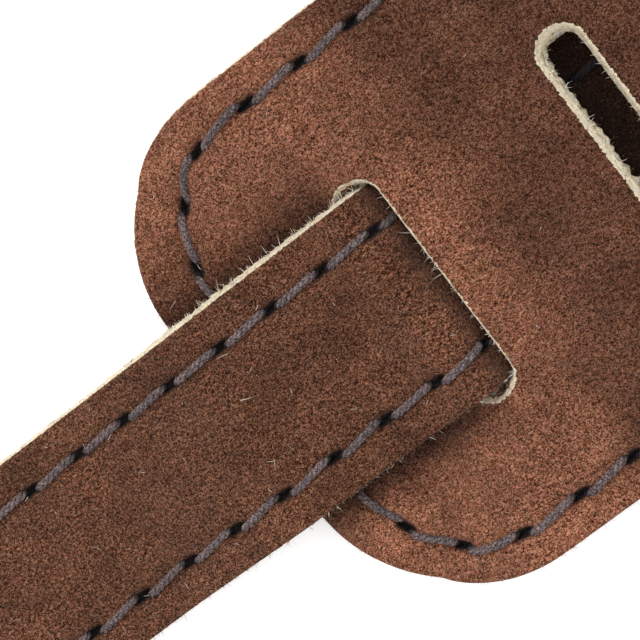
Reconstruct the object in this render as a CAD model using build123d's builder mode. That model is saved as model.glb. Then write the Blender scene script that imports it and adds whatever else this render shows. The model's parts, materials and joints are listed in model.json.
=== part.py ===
from build123d import *
import math
import os

# A two-piece adjustable suede guitar strap, laid out flat and straight on a surface.
#
# X runs along the strap, from the tail's free end to the main strap's front end. Y is across it.
# Z = 0 is the surface it lies on. The origin is at the middle of its length, under the strap.
#
# The main strap is the wide one. A row of slots starts near its rounded rear end. The tail is the
# narrow strap: it climbs over the rounded end, dives through slot 1, runs under the main past
# slot 2, comes up through slot 3, and is tucked down again through slot 4. Where the tail runs
# under the main, the main is lifted by it; where the tail runs over the main, the main lies low.
# Each strap is two leather layers, face and backing, sewn together by a needle thread on top and
# a bobbin thread underneath. The leather is continuous, and is cut into rigid sections where it bends.

# Driving sizes, in millimetres and degrees

main_length = 890.0
main_width = 63.5
main_layer = 1.4  # one of its two leather layers
main_corner = 18.0  # rounding of the rear end
main_end_bow = 1.0  # how far the rear end bulges past its corners
main_inset = 4.1  # from the edge to the sewn row

slot_count = 6
slot_margin = 21.1  # from the rear end to slot 1
slot_pitch = 27.2
slot_width = 5.4
slot_length = 28.6
crossed_slots = (1, 3, 4)  # those that the tail passes through, down, up and down again

tail_shown = 290.0  # how far it reaches out past the main's rear end
tail_inside = 150.0  # how far its inner end reaches past the main's rear end
tail_width = 26.0
tail_layer = 1.2
tail_inset = 4.3
tail_inner_corner = 6.0
tail_row_corner = 2.0  # rounding of the sewn row at the inner end

tongue_width = 36.0  # the main's narrow front end
tongue_length = 50.0
taper_length = 65.0  # from full width to the tongue

button_hole_d = 8.0  # for the neck of a strap button
button_slit_length = 11.0  # from the hole's centre, away from the strap's end
button_slit_width = 1.2
button_margin = 16.0  # from a strap's end to the hole's centre

stitch_pitch = 7.0
stitch_run = 5.2  # thread that shows between two needle holes
thread_d = 1.0
thread_proud = 0.4  # how far the needle thread stands above the face
thread_sunk = 0.6  # how far it is pulled into the face
bobbin_sunk = 0.7  # the bobbin thread lies flush in the backing

fold_at = 520.0  # from the rear end to the main's fold line
tab_length = 45.0  # the front end that bends onto a strap button
tail_end_length = 70.0  # the tail end that bends onto a strap button
tail_run_start = 20.0  # past the main's rear end, where the free tail begins
flex_gap = 0.3  # between two rigid sections of one strap

main_slope = 18.0  # how steeply the main climbs at a slot that the tail uses
main_lift_gap = 1.6  # air between the tail and the lifted main
main_bend = 20.0  # radius of the main's underside where its slope starts and ends
rest_slope = 12.0  # the main's last slope, back down to the surface
rest_margin = 22.0  # from the tail's inner end to the start of that slope
perch_gap = 0.6  # air between the main's face and the tail over it
under_gap = 0.45  # from the tail's underside to the slot's lower corner
over_gap = 0.6  # from the tail's face to the slot's upper corner, with its thread
dive_corner = 1.2  # radius of the tail's underside as it turns down into a slot
dive_in = 1.6  # the tail's bend radii on its face, where it nears a slot
dive_out = 0.8  # and where it levels out under the main
climb = 15.0  # length of the tail's climb onto the main
climb_end = 2.0  # past the main's rear end, where that climb ends
climb_start_bend = 12.0  # radii of the tail's underside at that climb
climb_end_bend = 8.0

# Sizes that follow from them

main_thick = 2 * main_layer
tail_thick = 2 * tail_layer
main_lift = tail_thick + main_lift_gap
perch = main_thick + perch_gap
rear_x = (tail_shown - main_length) / 2  # the main's rear end
front_x = rear_x + main_length
fold_x = rear_x + fold_at
tab_x = front_x - tab_length
tongue_x = front_x - tongue_length
taper_x = tongue_x - taper_length
tail_tip_x = rear_x - tail_shown
tail_bend_x = tail_tip_x + tail_end_length
tail_run_x = rear_x - tail_run_start
tail_inner_x = rear_x + tail_inside
main_row_y = main_width / 2 - main_inset
tail_row_y = tail_width / 2 - tail_inset
tongue_row_y = tongue_width / 2 - main_inset
cut_plane = Plane.XY.offset(-1)  # plans are drawn below the strap and extruded up through it
above_all = 4 * (main_thick + tail_thick)  # taller than any part of the strap


def slot_x(number):
    """The middle of a slot, counted from 1 at the rear end."""
    return rear_x + slot_margin + slot_width / 2 + (number - 1) * slot_pitch


# Side paths. Each is a list of (x, z, radius) along an underside, with the radius of that corner.


def main_side():
    """The underside of the main's rear section, up or down at each slot that the tail passes."""
    half_run = main_lift / 2 / math.tan(math.radians(main_slope))
    path = [(rear_x - main_end_bow, 0, 0)]
    level = 0
    for number in crossed_slots:
        after = main_lift - level
        path.append((slot_x(number) - half_run, level, main_bend))
        path.append((slot_x(number) + half_run, after, main_bend))
        level = after
    rest_x = tail_inner_x + rest_margin
    path.append((rest_x, main_lift, main_bend))
    path.append((rest_x + main_lift / math.tan(math.radians(rest_slope)), 0, main_bend))
    path.append((fold_x - flex_gap / 2, 0, 0))
    return path


def dive():
    """The tail's way down through a slot, left to right, with x from the slot's middle.

    The tail is a band that has to pass between the slot's lower left corner, on the main's face,
    and its upper right corner, on the main's underside. Its angle follows from their distance.
    """
    slope = math.radians(main_slope)
    half = slot_width / 2
    low_corner_z = main_lift / 2 - half * math.tan(slope) + main_thick / math.cos(slope)
    high_corner_z = main_lift / 2 + half * math.tan(slope)
    drop = low_corner_z - high_corner_z
    band = under_gap + tail_thick + over_gap
    angle = math.atan2(drop, slot_width) + math.asin(band / math.hypot(slot_width, drop))
    line_x = -half + under_gap * math.sin(angle)
    line_z = low_corner_z + under_gap * math.cos(angle)
    half_run = main_lift / 2 / math.tan(slope)
    return [
        (-half_run, perch, tail_thick + dive_in),
        (-half, line_z + (line_x + half) * math.tan(angle), dive_corner),
        (line_x + line_z / math.tan(angle), 0, tail_thick + dive_out),
    ]


def tail_side():
    """The underside of the tail's woven section, from the free tail to its inner end."""
    down = dive()
    up = [(-x, z, radius) for x, z, radius in reversed(down)]
    path = [
        (tail_run_x + flex_gap / 2, 0, 0),
        (rear_x - climb_end - climb, 0, climb_start_bend),
        (rear_x - climb_end, perch, climb_end_bend),
    ]
    for number, way in zip(crossed_slots, (down, up, down)):
        path += [(slot_x(number) + x, z, radius) for x, z, radius in way]
    path.append((tail_inner_x, 0, 0))
    return path


def flat_side(start, end):
    """The underside of a section that lies flat."""
    return [(start, 0, 0), (end, 0, 0)]


def parallel(path, rise):
    """The path that runs `rise` above a side path, with its corner radii."""
    headings = [math.atan2(b[1] - a[1], b[0] - a[0]) for a, b in zip(path, path[1:])]
    headings = [headings[0], *headings, headings[-1]]
    raised = []
    for (x, z, radius), heading_in, heading_out in zip(path, headings, headings[1:]):
        half_turn = (heading_out - heading_in) / 2
        normal = heading_in + half_turn + math.pi / 2
        reach = rise / math.cos(half_turn)
        if radius:
            radius += -rise if half_turn > 0 else rise
        raised.append((x + reach * math.cos(normal), z + reach * math.sin(normal), radius))
    return raised


def draw_side(path):
    """Draws a side path as straight runs and tangent arcs."""
    points = [(x, z) for x, z, _ in path]
    if len(points) == 2:
        return Line(*points)
    return FilletPolyline(*points, radius=[radius for _, _, radius in path[1:-1]])


def draw_band(path, low, high):
    """Fills the band between two parallels of a side path, as a face of the open sketch."""
    with BuildLine() as edge:
        lower = draw_side(parallel(path, low))
        upper = draw_side(parallel(path, high))
        Line(lower @ 0, upper @ 0)
        Line(lower @ 1, upper @ 1)
    make_face(edge.edges())


# Plans. Each draws a section's outline and openings in the open sketch.


def draw_span(start, end, width):
    """A plain rectangle from start to end."""
    with Locations(((start + end) / 2, 0)):
        Rectangle(end - start, width)


def draw_button_hole(x, towards):
    """Cuts a strap button's keyhole, with its slit on the side that `towards` gives: 1 or -1."""
    with Locations((x, 0)):
        Circle(button_hole_d / 2, mode=Mode.SUBTRACT)
    with Locations((x + towards * button_slit_length / 2, 0)):
        Rectangle(button_slit_length, button_slit_width, mode=Mode.SUBTRACT)


def plan_main_rear():
    corner_y = main_width / 2
    cut_x = fold_x - flex_gap / 2
    with BuildLine() as outline:
        ThreePointArc((rear_x, corner_y), (rear_x - main_end_bow, 0), (rear_x, -corner_y))
        Line((rear_x, -corner_y), (cut_x, -corner_y))
        Line((cut_x, -corner_y), (cut_x, corner_y))
        Line((cut_x, corner_y), (rear_x, corner_y))
    face = make_face(outline.edges())
    fillet(face.vertices().group_by(Axis.X)[0], main_corner)
    for number in range(1, slot_count + 1):
        with Locations((slot_x(number), 0)):
            SlotOverall(slot_length, slot_width, rotation=90, mode=Mode.SUBTRACT)


def draw_taper(inset):
    """The front section's upper edge, `inset` inside it: straight, then an S down to the tongue."""
    wide_y = main_width / 2 - inset
    narrow_y = tongue_width / 2 - inset
    middle = ((taper_x + tongue_x) / 2, (wide_y + narrow_y) / 2)
    Line((fold_x + flex_gap / 2, wide_y), (taper_x, wide_y))
    bend = TangentArc((taper_x, wide_y), middle, tangent=(1, 0))
    TangentArc(middle, (tongue_x, narrow_y), tangent=bend % 1)
    Line((tongue_x, narrow_y), (tab_x - flex_gap / 2, narrow_y))


def plan_main_front():
    with BuildLine() as outline:
        draw_taper(0)
        mirror(outline.edges(), about=Plane.XZ)
        for x, half in ((fold_x + flex_gap / 2, main_width / 2), (tab_x - flex_gap / 2, tongue_width / 2)):
            Line((x, -half), (x, half))
    make_face(outline.edges())


def plan_main_tab():
    round_x = front_x - tongue_width / 2
    draw_span(tab_x + flex_gap / 2, round_x, tongue_width)
    with Locations((round_x, 0)):
        Circle(tongue_width / 2)
    draw_button_hole(front_x - button_margin, -1)


def plan_tail_weave():
    draw_span(tail_run_x + flex_gap / 2, tail_inner_x, tail_width)
    fillet(vertices().group_by(Axis.X)[-1], tail_inner_corner)


def plan_tail_run():
    draw_span(tail_bend_x + flex_gap / 2, tail_run_x - flex_gap / 2, tail_width)


def plan_tail_end():
    round_x = tail_tip_x + tail_width / 2
    draw_span(round_x, tail_bend_x - flex_gap / 2, tail_width)
    with Locations((round_x, 0)):
        Circle(tail_width / 2)
    draw_button_hole(tail_tip_x + button_margin, 1)


# Sewn rows. Each gives the wires that a section's stitches follow, seen from above.


def row_around(open_x, end_x, half, radius):
    """One row along both sides of a section and round its end."""
    with BuildLine() as row:
        FilletPolyline((open_x, half), (end_x, half), (end_x, -half), (open_x, -half), radius=radius)
    return [row.wires()[0]]


def row_round_end(open_x, round_x, half):
    """One row along both sides of a section and round its half-circle end."""
    out_x = round_x + math.copysign(half, round_x - open_x)
    with BuildLine() as row:
        Line((open_x, half), (round_x, half))
        ThreePointArc((round_x, half), (out_x, 0), (round_x, -half))
        Line((round_x, -half), (open_x, -half))
    return [row.wires()[0]]


def rows_along(start, end, half):
    """Two straight rows, one along each side."""
    rows = []
    for side in (1, -1):
        with BuildLine() as row:
            Line((start, side * half), (end, side * half))
        rows.append(row.wires()[0])
    return rows


def rows_taper():
    """The front section's two rows, which follow its taper."""
    rows = []
    with BuildLine() as row:
        draw_taper(main_inset)
    rows.append(row.wires()[0])
    with BuildLine() as other:
        mirror(row.edges(), about=Plane.XZ)
    rows.append(other.wires()[0])
    return rows


def draw_stitches(rows):
    """One rounded bar for each stitch, evenly spaced along the rows, in the open sketch."""
    for row in rows:
        count = round(row.length / stitch_pitch)
        for index in range(count):
            share = (index + 0.5) / count
            spot = row @ share
            with Locations((spot.X, spot.Y)):
                SlotOverall(stitch_run, thread_d, rotation=row.tangent_angle_at(share))


# Pieces


def write(piece, name):
    piece.part.label = name
    export_step(piece.part, f"parts/{name}.step")


def make_layer(name, path, low, high, plan):
    """One leather layer of a section: the band from low to high above its underside, cut to its plan."""
    with BuildPart() as layer:
        with BuildSketch(Plane.XZ):
            draw_band(path, low, high)
        extrude(amount=main_width, both=True)
        with BuildSketch(cut_plane):
            plan()
        extrude(amount=above_all, mode=Mode.INTERSECT)
    write(layer, name)


def make_thread(name, path, low, high, rows):
    """One section's stitches as separate bars, each in the band from low to high above its underside."""
    with BuildPart() as thread:
        with BuildSketch(Plane.XZ):
            draw_band(path, low, high)
        extrude(amount=main_width, both=True)
        with BuildSketch(cut_plane):
            draw_stitches(rows)
        extrude(amount=above_all, mode=Mode.INTERSECT)
    write(thread, name)


def make_section(strap, section, layer, path, plan, rows):
    """The four pieces of one section of a strap."""
    top = 2 * layer
    make_layer(f"{strap}_backing_{section}", path, 0, layer, plan)
    make_layer(f"{strap}_face_{section}", path, layer, top, plan)
    make_thread(f"{strap}_needle_thread_{section}", path, top - thread_sunk, top + thread_proud, rows)
    make_thread(f"{strap}_bobbin_thread_{section}", path, 0, bobbin_sunk, rows)


os.makedirs("parts", exist_ok=True)

make_section(
    "main",
    "rear",
    main_layer,
    main_side(),
    plan_main_rear,
    row_around(fold_x, rear_x + main_inset, main_row_y, main_corner - main_inset),
)
make_section(
    "main",
    "front",
    main_layer,
    flat_side(fold_x + flex_gap / 2, tab_x - flex_gap / 2),
    plan_main_front,
    rows_taper(),
)
make_section(
    "main",
    "tab",
    main_layer,
    flat_side(tab_x + flex_gap / 2, front_x),
    plan_main_tab,
    row_round_end(tab_x, front_x - tongue_width / 2, tongue_row_y),
)
make_section(
    "tail",
    "weave",
    tail_layer,
    tail_side(),
    plan_tail_weave,
    row_around(tail_run_x, tail_inner_x - tail_inset, tail_row_y, tail_row_corner),
)
make_section(
    "tail",
    "run",
    tail_layer,
    flat_side(tail_bend_x + flex_gap / 2, tail_run_x - flex_gap / 2),
    plan_tail_run,
    rows_along(tail_bend_x, tail_run_x, tail_row_y),
)
make_section(
    "tail",
    "end",
    tail_layer,
    flat_side(tail_tip_x, tail_bend_x - flex_gap / 2),
    plan_tail_end,
    row_round_end(tail_bend_x, tail_tip_x + tail_width / 2, tail_row_y),
)
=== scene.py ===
import json
import math
from dataclasses import dataclass

import bpy
import numpy as np
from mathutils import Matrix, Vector, kdtree, noise
from mathutils.geometry import delaunay_2d_cdt


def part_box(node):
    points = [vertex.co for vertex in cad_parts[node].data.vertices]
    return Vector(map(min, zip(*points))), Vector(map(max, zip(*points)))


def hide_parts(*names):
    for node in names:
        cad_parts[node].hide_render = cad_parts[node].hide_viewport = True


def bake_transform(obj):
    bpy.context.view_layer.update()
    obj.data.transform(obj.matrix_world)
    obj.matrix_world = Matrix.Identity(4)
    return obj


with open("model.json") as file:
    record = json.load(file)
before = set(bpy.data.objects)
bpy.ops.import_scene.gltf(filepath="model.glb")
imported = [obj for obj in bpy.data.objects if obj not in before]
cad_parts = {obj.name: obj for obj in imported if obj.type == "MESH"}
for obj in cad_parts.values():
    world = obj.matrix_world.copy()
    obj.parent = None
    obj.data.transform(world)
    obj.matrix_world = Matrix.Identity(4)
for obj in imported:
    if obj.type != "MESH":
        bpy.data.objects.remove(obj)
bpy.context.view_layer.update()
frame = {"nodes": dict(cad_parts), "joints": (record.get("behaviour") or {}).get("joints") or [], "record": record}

# A suede guitar strap in two pieces: the wide main strap and the narrow tail woven through its slots.
# Lengths are in millimetres, and are turned into metres when a mesh is made. A point of a strap is
# (x, y, h): its place along the strap, across it, and its height above the strap's own underside.
# The main's x is the frame's. The tail's is measured along its bends, and is the frame's at its dive.

MM = 0.001
rng = np.random.default_rng(7)  # shared by everything that is random, in the order it is built


def normalised(vectors):
    return vectors / np.linalg.norm(vectors, axis=-1, keepdims=True)


def left_of(ahead):
    """Directions a quarter turn to the left of plan directions."""
    return np.column_stack([-ahead[:, 1], ahead[:, 0]])


# Sizes read from the frame


def node_box(node):
    low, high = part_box(node)
    return np.array(low) / MM, np.array(high) / MM


def joint_pivot(name):
    joint = next(j for j in frame["joints"] if j["name"] == name)
    return np.array(joint["pos_m"]) / MM


def record_item(items, name):
    return next(item for item in items if item["name"] == name)


def opening_x(name):
    low, high = record_item(frame["record"]["physics"]["openings"], name)["box_m"]
    return (low[0] + high[0]) / 2 / MM


MAIN_HALF = node_box("main_face_rear")[1][1]
TONGUE_HALF = node_box("main_face_tab")[1][1]
TAIL_HALF = node_box("tail_face_run")[1][1]
MAIN_LAYER = node_box("main_backing_front")[1][2]
TAIL_LAYER = node_box("tail_backing_run")[1][2]
END_BOW = 1.0  # how far the main's rear end bulges past its corners
REAR_X = node_box("main_face_rear")[0][0] + END_BOW
FRONT_X = node_box("main_face_tab")[1][0]
TAIL_TIP_X = node_box("tail_face_end")[0][0]
TAIL_INNER_X = node_box("tail_face_weave")[1][0]
FOLD = joint_pivot("shoulder_fold")
TAB_BEND = joint_pivot("front_tab_bend")
TAIL_BEND = joint_pivot("tail_end_bend")
SLOT_PITCH = (opening_x("slot_6") - opening_x("slot_2")) / 4
SLOT_1_X = opening_x("slot_2") - SLOT_PITCH
FRONT_HOLE_X = record_item(frame["record"]["mounts"], "button_hole_front")["pos_m"][0] / MM
TAIL_HOLE_X = record_item(frame["record"]["mounts"], "button_hole_tail")["pos_m"][0] / MM
HOLE_RADIUS = record_item(frame["record"]["mounts"], "button_hole_tail")["dims"]["r_mm"]

# Sizes that the frame doesn't give

SLOT_WIDTH = 5.4
SLOT_LENGTH = 28.6
SLOT_NUMBERS = range(1, 7)
EMPTY_SLOTS = (2, 5, 6)
MAIN_CORNER = 18.0
TAIL_INNER_CORNER = 6.0
TONGUE_X = FRONT_X - 50.0
TAPER_X = TONGUE_X - 65.0
SLIT_LENGTH = 11.0
SLIT_HALF = 0.6
REAR_SKEW = 0.03  # the rear end is cut a little out of square
EDGE_ROUND = 0.4  # radius of the worn upper edges
RINGS = (0.04, 0.13, 0.27, 0.42)  # distances from an edge where the round needs points
MAIN_SEAM_X = 440.0  # where the long stretch's mesh meets the tongue's
TAIL_SEAM_X = -460.0
CLOSE_LOW = REAR_X - 44.0  # the close stretch round slots 1 and 2 has the finest mesh
CLOSE_HIGH = REAR_X + 70.0
DIVE_X = SLOT_1_X - 8.0  # where the tail starts its way down through slot 1
DIVE_SHIFT = 1.2  # how much nearer the far wall the soft leather goes down than the CAD's rigid band
FLANK_SLANT = 0.8  # how far the main's rise shifts along it, per millimetre past slot 1's ends
EMPTY_LEANS = (1.0, 0.8)  # how far the walls of an empty slot lean in, on its -X side and at its ends
CROSSED_LEANS = (0.0, 0.95)  # the same for a slot that the tail fills
RIM_WIDTH = 0.42  # of the pale line along a slot's edge
SPARE = 5.0  # how far a part's range goes past its strap's end
FOLD_RUN = 75.0  # lengths over which the straps bend from one body to the next
TAB_BEND_RUN = 36.0
TAIL_BEND_RUN = 40.0
STRETCH = (4.0, 144.0)  # how far past the main's rear end the tail starts and stops stretching
FIBRE_FLOOR = 0.05  # the lowest that an edge fibre may hang above the underside
WALL_LEVELS = np.array([0.12, 0.4, 0.72, 1.0])  # shares of the way down a layer's wall

STITCH_PITCH = 7.0
STITCH_RUN = 5.3
MAIN_ROW_INSET = 4.1
REAR_ROW_INSET = 5.0
TAIL_ROW_INSET = 4.4
PLY_RADIUS = 0.24
PLY_OFFSET = 0.23
PLY_TWIST = 2.5  # length of one turn of the thread's three plies

FACE_FUZZ = (0.12, 0.5)  # fibres per square millimetre of face, and their length
CLOSE_NAP = (5.0, 0.42)  # the same in the close stretch
STRAY_HAIRS = 60
# Fibres per millimetre of edge, their length, and how many more stand where it is pale
EDGE_FUZZ = {"main": (4.0, 0.48, 0.9), "tail": (6.0, 0.48, 2.2)}


# The straps seen from the side


def underside(node, half):
    """The (x, z) points of a CAD layer's underside along its straight +Y edge."""
    downward = -0.3
    mesh = frame["nodes"][node].data
    points = set()
    for polygon in mesh.polygons:
        if polygon.normal.z > downward:
            continue
        for index in polygon.vertices:
            x, y, z = mesh.vertices[index].co / MM
            if abs(y - half) < 0.01:
                points.add((round(x, 3), round(z, 3)))
    return np.array(sorted(points))


@dataclass
class Side:
    """An underside seen from the side: x, height and heading at places measured along the strap."""

    along: np.ndarray
    x: np.ndarray
    z: np.ndarray
    heading: np.ndarray

    def at(self, along):
        return [np.interp(along, self.along, values) for values in (self.x, self.z, self.heading)]

    def along_at(self, x):
        return float(np.interp(x, self.x, self.along))


def side_of(points, ends, blur, lift):
    """A side measured by its x, smoothed over `blur`, with a gentle lift."""
    step = 0.1
    x = np.arange(ends[0] - 5, ends[1] + 5, step)
    z = np.interp(x, points[:, 0], points[:, 1])
    reach = np.arange(-3 * blur, 3 * blur + step, step)
    kernel = np.exp(-((reach / blur) ** 2))
    padded = np.pad(z, len(kernel) // 2, mode="edge")
    z = np.convolve(padded, kernel / kernel.sum(), mode="valid")[: len(x)]
    z = z + lift(x)
    return Side(x, x, z, np.arctan(np.gradient(z, step)))


def measured_along(side, height, fixed_x):
    """The same side, measured along the line `height` above it, and by x itself at fixed_x."""
    x = side.x - np.sin(side.heading) * height
    z = side.z + np.cos(side.heading) * height
    run = np.concatenate([[0], np.cumsum(np.hypot(np.diff(x), np.diff(z)))])
    run += fixed_x - np.interp(fixed_x, side.x, run)
    return Side(run, side.x, side.z, side.heading)


def fade(x, start, end):
    """Rises smoothly from 0 at `start` to 1 at `end`."""
    t = np.clip((x - start) / (end - start), 0, 1)
    return t * t * (3 - 2 * t)


def main_lift(x):
    """The main lies in long shallow waves, as used leather does."""
    wave = 1.3 * (1 - np.cos((x + 90) / 47)) / 2 + 0.9 * (1 - np.cos((x + 90) / 23 + 1)) / 2
    return wave * fade(x, -95, 10) * (1 - fade(x, 520, 585))


def tail_lift(x):
    wave = 1.6 * (1 - np.cos((x + 360) / 26)) / 2
    return wave * fade(-x, 350, 420) * (1 - fade(-x, 540, 585))


MAIN_SIDE = side_of(underside("main_backing_rear", MAIN_HALF), (REAR_X, FRONT_X), 1.0, main_lift)


def leant_over(points):
    """The tail's underside, with its way down through slot 1 moved over towards the slot's far wall."""
    x = points[:, 0] - SLOT_1_X
    near = fade(x, -8, -3) * (1 - fade(x, 3, 10))
    moved = points.copy()
    moved[:, 0] += DIVE_SHIFT * near
    return moved


TAIL_LINE = leant_over(underside("tail_backing_weave", TAIL_HALF))
TAIL_SIDE = measured_along(
    side_of(TAIL_LINE, (TAIL_TIP_X, TAIL_INNER_X), 0.25, tail_lift),
    TAIL_LAYER,
    DIVE_X,
)
TAIL_TIP = TAIL_SIDE.along_at(TAIL_TIP_X)
TAIL_INNER = TAIL_SIDE.along_at(TAIL_INNER_X)
TAIL_HOLE = TAIL_SIDE.along_at(TAIL_HOLE_X)


def flank_shift(x, y):
    """Past the ends of slot 1 the main's rise runs slantwise, out towards the rear corners."""
    past = np.maximum(np.abs(y) - SLOT_LENGTH / 2, 0)
    return FLANK_SLANT * past * (1 - fade(x, SLOT_1_X + 6, SLOT_1_X + 16))


def lie_of(strap_name, along, y):
    """Where the underside is and which way it heads, at places on a strap."""
    if strap_name == "tail":
        return TAIL_SIDE.at(along)
    _, z, heading = MAIN_SIDE.at(along + flank_shift(along, y))
    return along, z, heading


def place(strap_name, points):
    """Puts strap points where they lie, in metres."""
    x, z, heading = lie_of(strap_name, points[:, 0], points[:, 1])
    raised = points[:, 2]
    return np.column_stack([x - np.sin(heading) * raised, points[:, 1], z + np.cos(heading) * raised]) * MM


def slot_x(number):
    """The middle of a slot. Where the main slopes, its upper edge is what lines up."""
    x = SLOT_1_X + (number - 1) * SLOT_PITCH
    return x + np.sin(MAIN_SIDE.at(x)[2]) * 2 * MAIN_LAYER


# The straps seen from above


def rear_end(y):
    """Where the main's rear end would be with square corners."""
    return REAR_X - END_BOW * (1 - (y / MAIN_HALF) ** 2) - REAR_SKEW * y


def taper_half(x, inset=0.0):
    """Half the main's width less the inset: straight, two tangent arcs, and straight again."""
    wide = MAIN_HALF - inset
    fall = MAIN_HALF - TONGUE_HALF
    run = (TONGUE_X - TAPER_X) / 2
    radius = (run**2 + (fall / 2) ** 2) / fall
    first = radius - np.sqrt(radius**2 - np.clip(x - TAPER_X, 0, run) ** 2)
    last = radius - np.sqrt(radius**2 - np.clip(TONGUE_X - x, 0, run) ** 2)
    return wide - np.where(x < TAPER_X + run, first, fall - last)


def rounded_end(x, y, end, half, radius):
    """Distance from the edge of a strip that starts at `end` with rounded corners."""
    over_x = end + radius - x
    over_y = np.abs(y) - (half - radius)
    outside = np.hypot(np.maximum(over_x, 0), np.maximum(over_y, 0))
    return radius - outside - np.minimum(np.maximum(over_x, over_y), 0)


def slots_distance(x, y):
    """Distance from the nearest slot."""
    past_straight = np.maximum(np.abs(y) - (SLOT_LENGTH / 2 - SLOT_WIDTH / 2), 0)
    return np.min([np.hypot(x - slot_x(n), past_straight) - SLOT_WIDTH / 2 for n in SLOT_NUMBERS], axis=0)


def keyhole_distance(x, y, hole_x, towards):
    along = np.clip((x - hole_x) * towards, 0, SLIT_LENGTH)
    slit = np.hypot(x - hole_x - towards * along, y) - SLIT_HALF
    return np.minimum(np.hypot(x - hole_x, y) - HOLE_RADIUS, slit)


def main_distance(x, y):
    """Distance inside the main from its nearest cut edge."""
    rear = rounded_end(x, y, rear_end(y), MAIN_HALF, MAIN_CORNER)
    round_x = FRONT_X - TONGUE_HALF
    front = np.where(x > round_x, TONGUE_HALF - np.hypot(x - round_x, y), np.inf)
    near = np.minimum(np.minimum(rear, front), taper_half(x) - np.abs(y))
    near = np.minimum(near, slots_distance(x, y))
    return np.minimum(near, keyhole_distance(x, y, FRONT_HOLE_X, -1))


def tail_distance(x, y):
    tip = rounded_end(x, y, TAIL_TIP, TAIL_HALF, TAIL_HALF)
    inner = rounded_end(-x, y, -TAIL_INNER, TAIL_HALF, TAIL_INNER_CORNER)
    return np.minimum(np.minimum(tip, inner), keyhole_distance(x, y, TAIL_HOLE, 1))


def end_line(end, half, radius):
    """Points round a strip's end, from its -Y side to its +Y side, dense on the corners."""
    turn = np.linspace(0, math.pi / 2, 90)
    corner = half - radius + radius * np.sin(turn)
    flat = np.linspace(radius - half, half - radius, 90)[1:-1]
    y = np.concatenate([-corner[::-1], flat if radius < half else [], corner])
    over = np.maximum(np.abs(y) - (half - radius), 0)
    x = end(y) + radius - np.sqrt(np.maximum(radius**2 - over**2, 0))
    return np.column_stack([x, y])


def side_line(start, stop, half_at):
    """Points along a strap's +Y side."""
    x = np.linspace(start, stop, 400)
    return np.column_stack([x, half_at(x)])


def flipped(line):
    return line[::-1] * (1, -1)


def arc(centre, radius, start, stop):
    turn = np.radians(np.linspace(start, stop, 60))
    return np.column_stack([centre[0] + radius * np.cos(turn), centre[1] + radius * np.sin(turn)])


def slot_loop(number):
    radius = SLOT_WIDTH / 2
    straight = SLOT_LENGTH / 2 - radius
    x = slot_x(number)
    return np.vstack([arc((x, straight), radius, 0, 180), arc((x, -straight), radius, 180, 360)])


def keyhole_loop(hole_x, towards):
    opening = math.degrees(math.asin(SLIT_HALF / HOLE_RADIUS))
    ring = arc((0, 0), HOLE_RADIUS, opening, 360 - opening)
    slit_end = arc((SLIT_LENGTH, 0), SLIT_HALF, -90, 90)
    return np.vstack([ring, slit_end]) * (towards, 1) + (hole_x, 0)


def respaced(line, spacing):
    """Points along an open line, `spacing(x)` apart, with both ends kept."""
    steps = np.linalg.norm(np.diff(line, axis=0), axis=1)
    weight = steps / spacing((line[1:, 0] + line[:-1, 0]) / 2)
    travelled = np.concatenate([[0], np.cumsum(weight)])
    marks = np.linspace(0, travelled[-1], max(int(round(travelled[-1])), 4) + 1)
    return np.column_stack([np.interp(marks, travelled, line[:, k]) for k in (0, 1)])


def closed_row(middle_x, corner, side, tip):
    """A sewn row from the middle of an end: its +Y half, the tip, and the same half on the -Y side."""
    middle = [(middle_x, 0)]
    return np.vstack([middle, corner, side[1:], tip[1:-1], flipped(side), flipped(corner)[1:], middle])


def main_row():
    """The main's sewn row, round the whole strap from the middle of its rear end, +Y side first."""
    side_y = MAIN_HALF - MAIN_ROW_INSET
    centre = (REAR_X + MAIN_CORNER, MAIN_HALF - MAIN_CORNER)
    turn = np.linspace(math.pi, math.pi / 2, 60)
    reach_x = MAIN_CORNER - REAR_ROW_INSET
    reach_y = side_y - centre[1]
    corner = np.column_stack([centre[0] + reach_x * np.cos(turn), centre[1] + reach_y * np.sin(turn)])
    side = side_line(centre[0], FRONT_X - TONGUE_HALF, lambda x: taper_half(x, MAIN_ROW_INSET))
    tip = arc((FRONT_X - TONGUE_HALF, 0), TONGUE_HALF - MAIN_ROW_INSET, 90, -90)
    return closed_row(REAR_X + REAR_ROW_INSET, corner, side, tip)


def tail_row():
    """The tail's sewn row, from the middle of its inner end, +Y side first."""
    side_y = TAIL_HALF - TAIL_ROW_INSET
    inner_x = TAIL_INNER - TAIL_ROW_INSET
    side = side_line(inner_x - 2, TAIL_TIP + TAIL_HALF, lambda x: np.full(len(x), side_y))
    corner = arc((inner_x - 2, side_y - 2), 2, 0, 90)
    tip = arc((TAIL_TIP + TAIL_HALF, 0), side_y, 90, 270)
    return closed_row(inner_x, corner, side, tip)


class Row:
    """A sewn row as a line measured along its length, with its needle holes."""

    def __init__(self, line, anchors):
        steps = np.linalg.norm(np.diff(line, axis=0), axis=1)
        self.line = line
        self.travelled = np.concatenate([[0], np.cumsum(steps)])
        self.length = self.travelled[-1]
        self.holes = self.placed_holes([anchor(self) for anchor in anchors])

    def placed_holes(self, anchors):
        """Holes one pitch apart, which meet each anchor."""
        holes = []
        for start, stop in zip(anchors, anchors[1:] + [anchors[0] + self.length]):
            count = round((stop - start) / STITCH_PITCH)
            holes.extend(start + (stop - start) * k / count for k in range(count))
        return np.array(holes)

    def at(self, along):
        """Points of the row and its directions there."""
        along = np.asarray(along, float)
        here = self.points(along)
        ahead = self.points(along + 0.2) - self.points(along - 0.2)
        return here, normalised(ahead)

    def points(self, along):
        wrapped = np.mod(along, self.length)
        return np.stack([np.interp(wrapped, self.travelled, self.line[:, k]) for k in (0, 1)], axis=-1)


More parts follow.
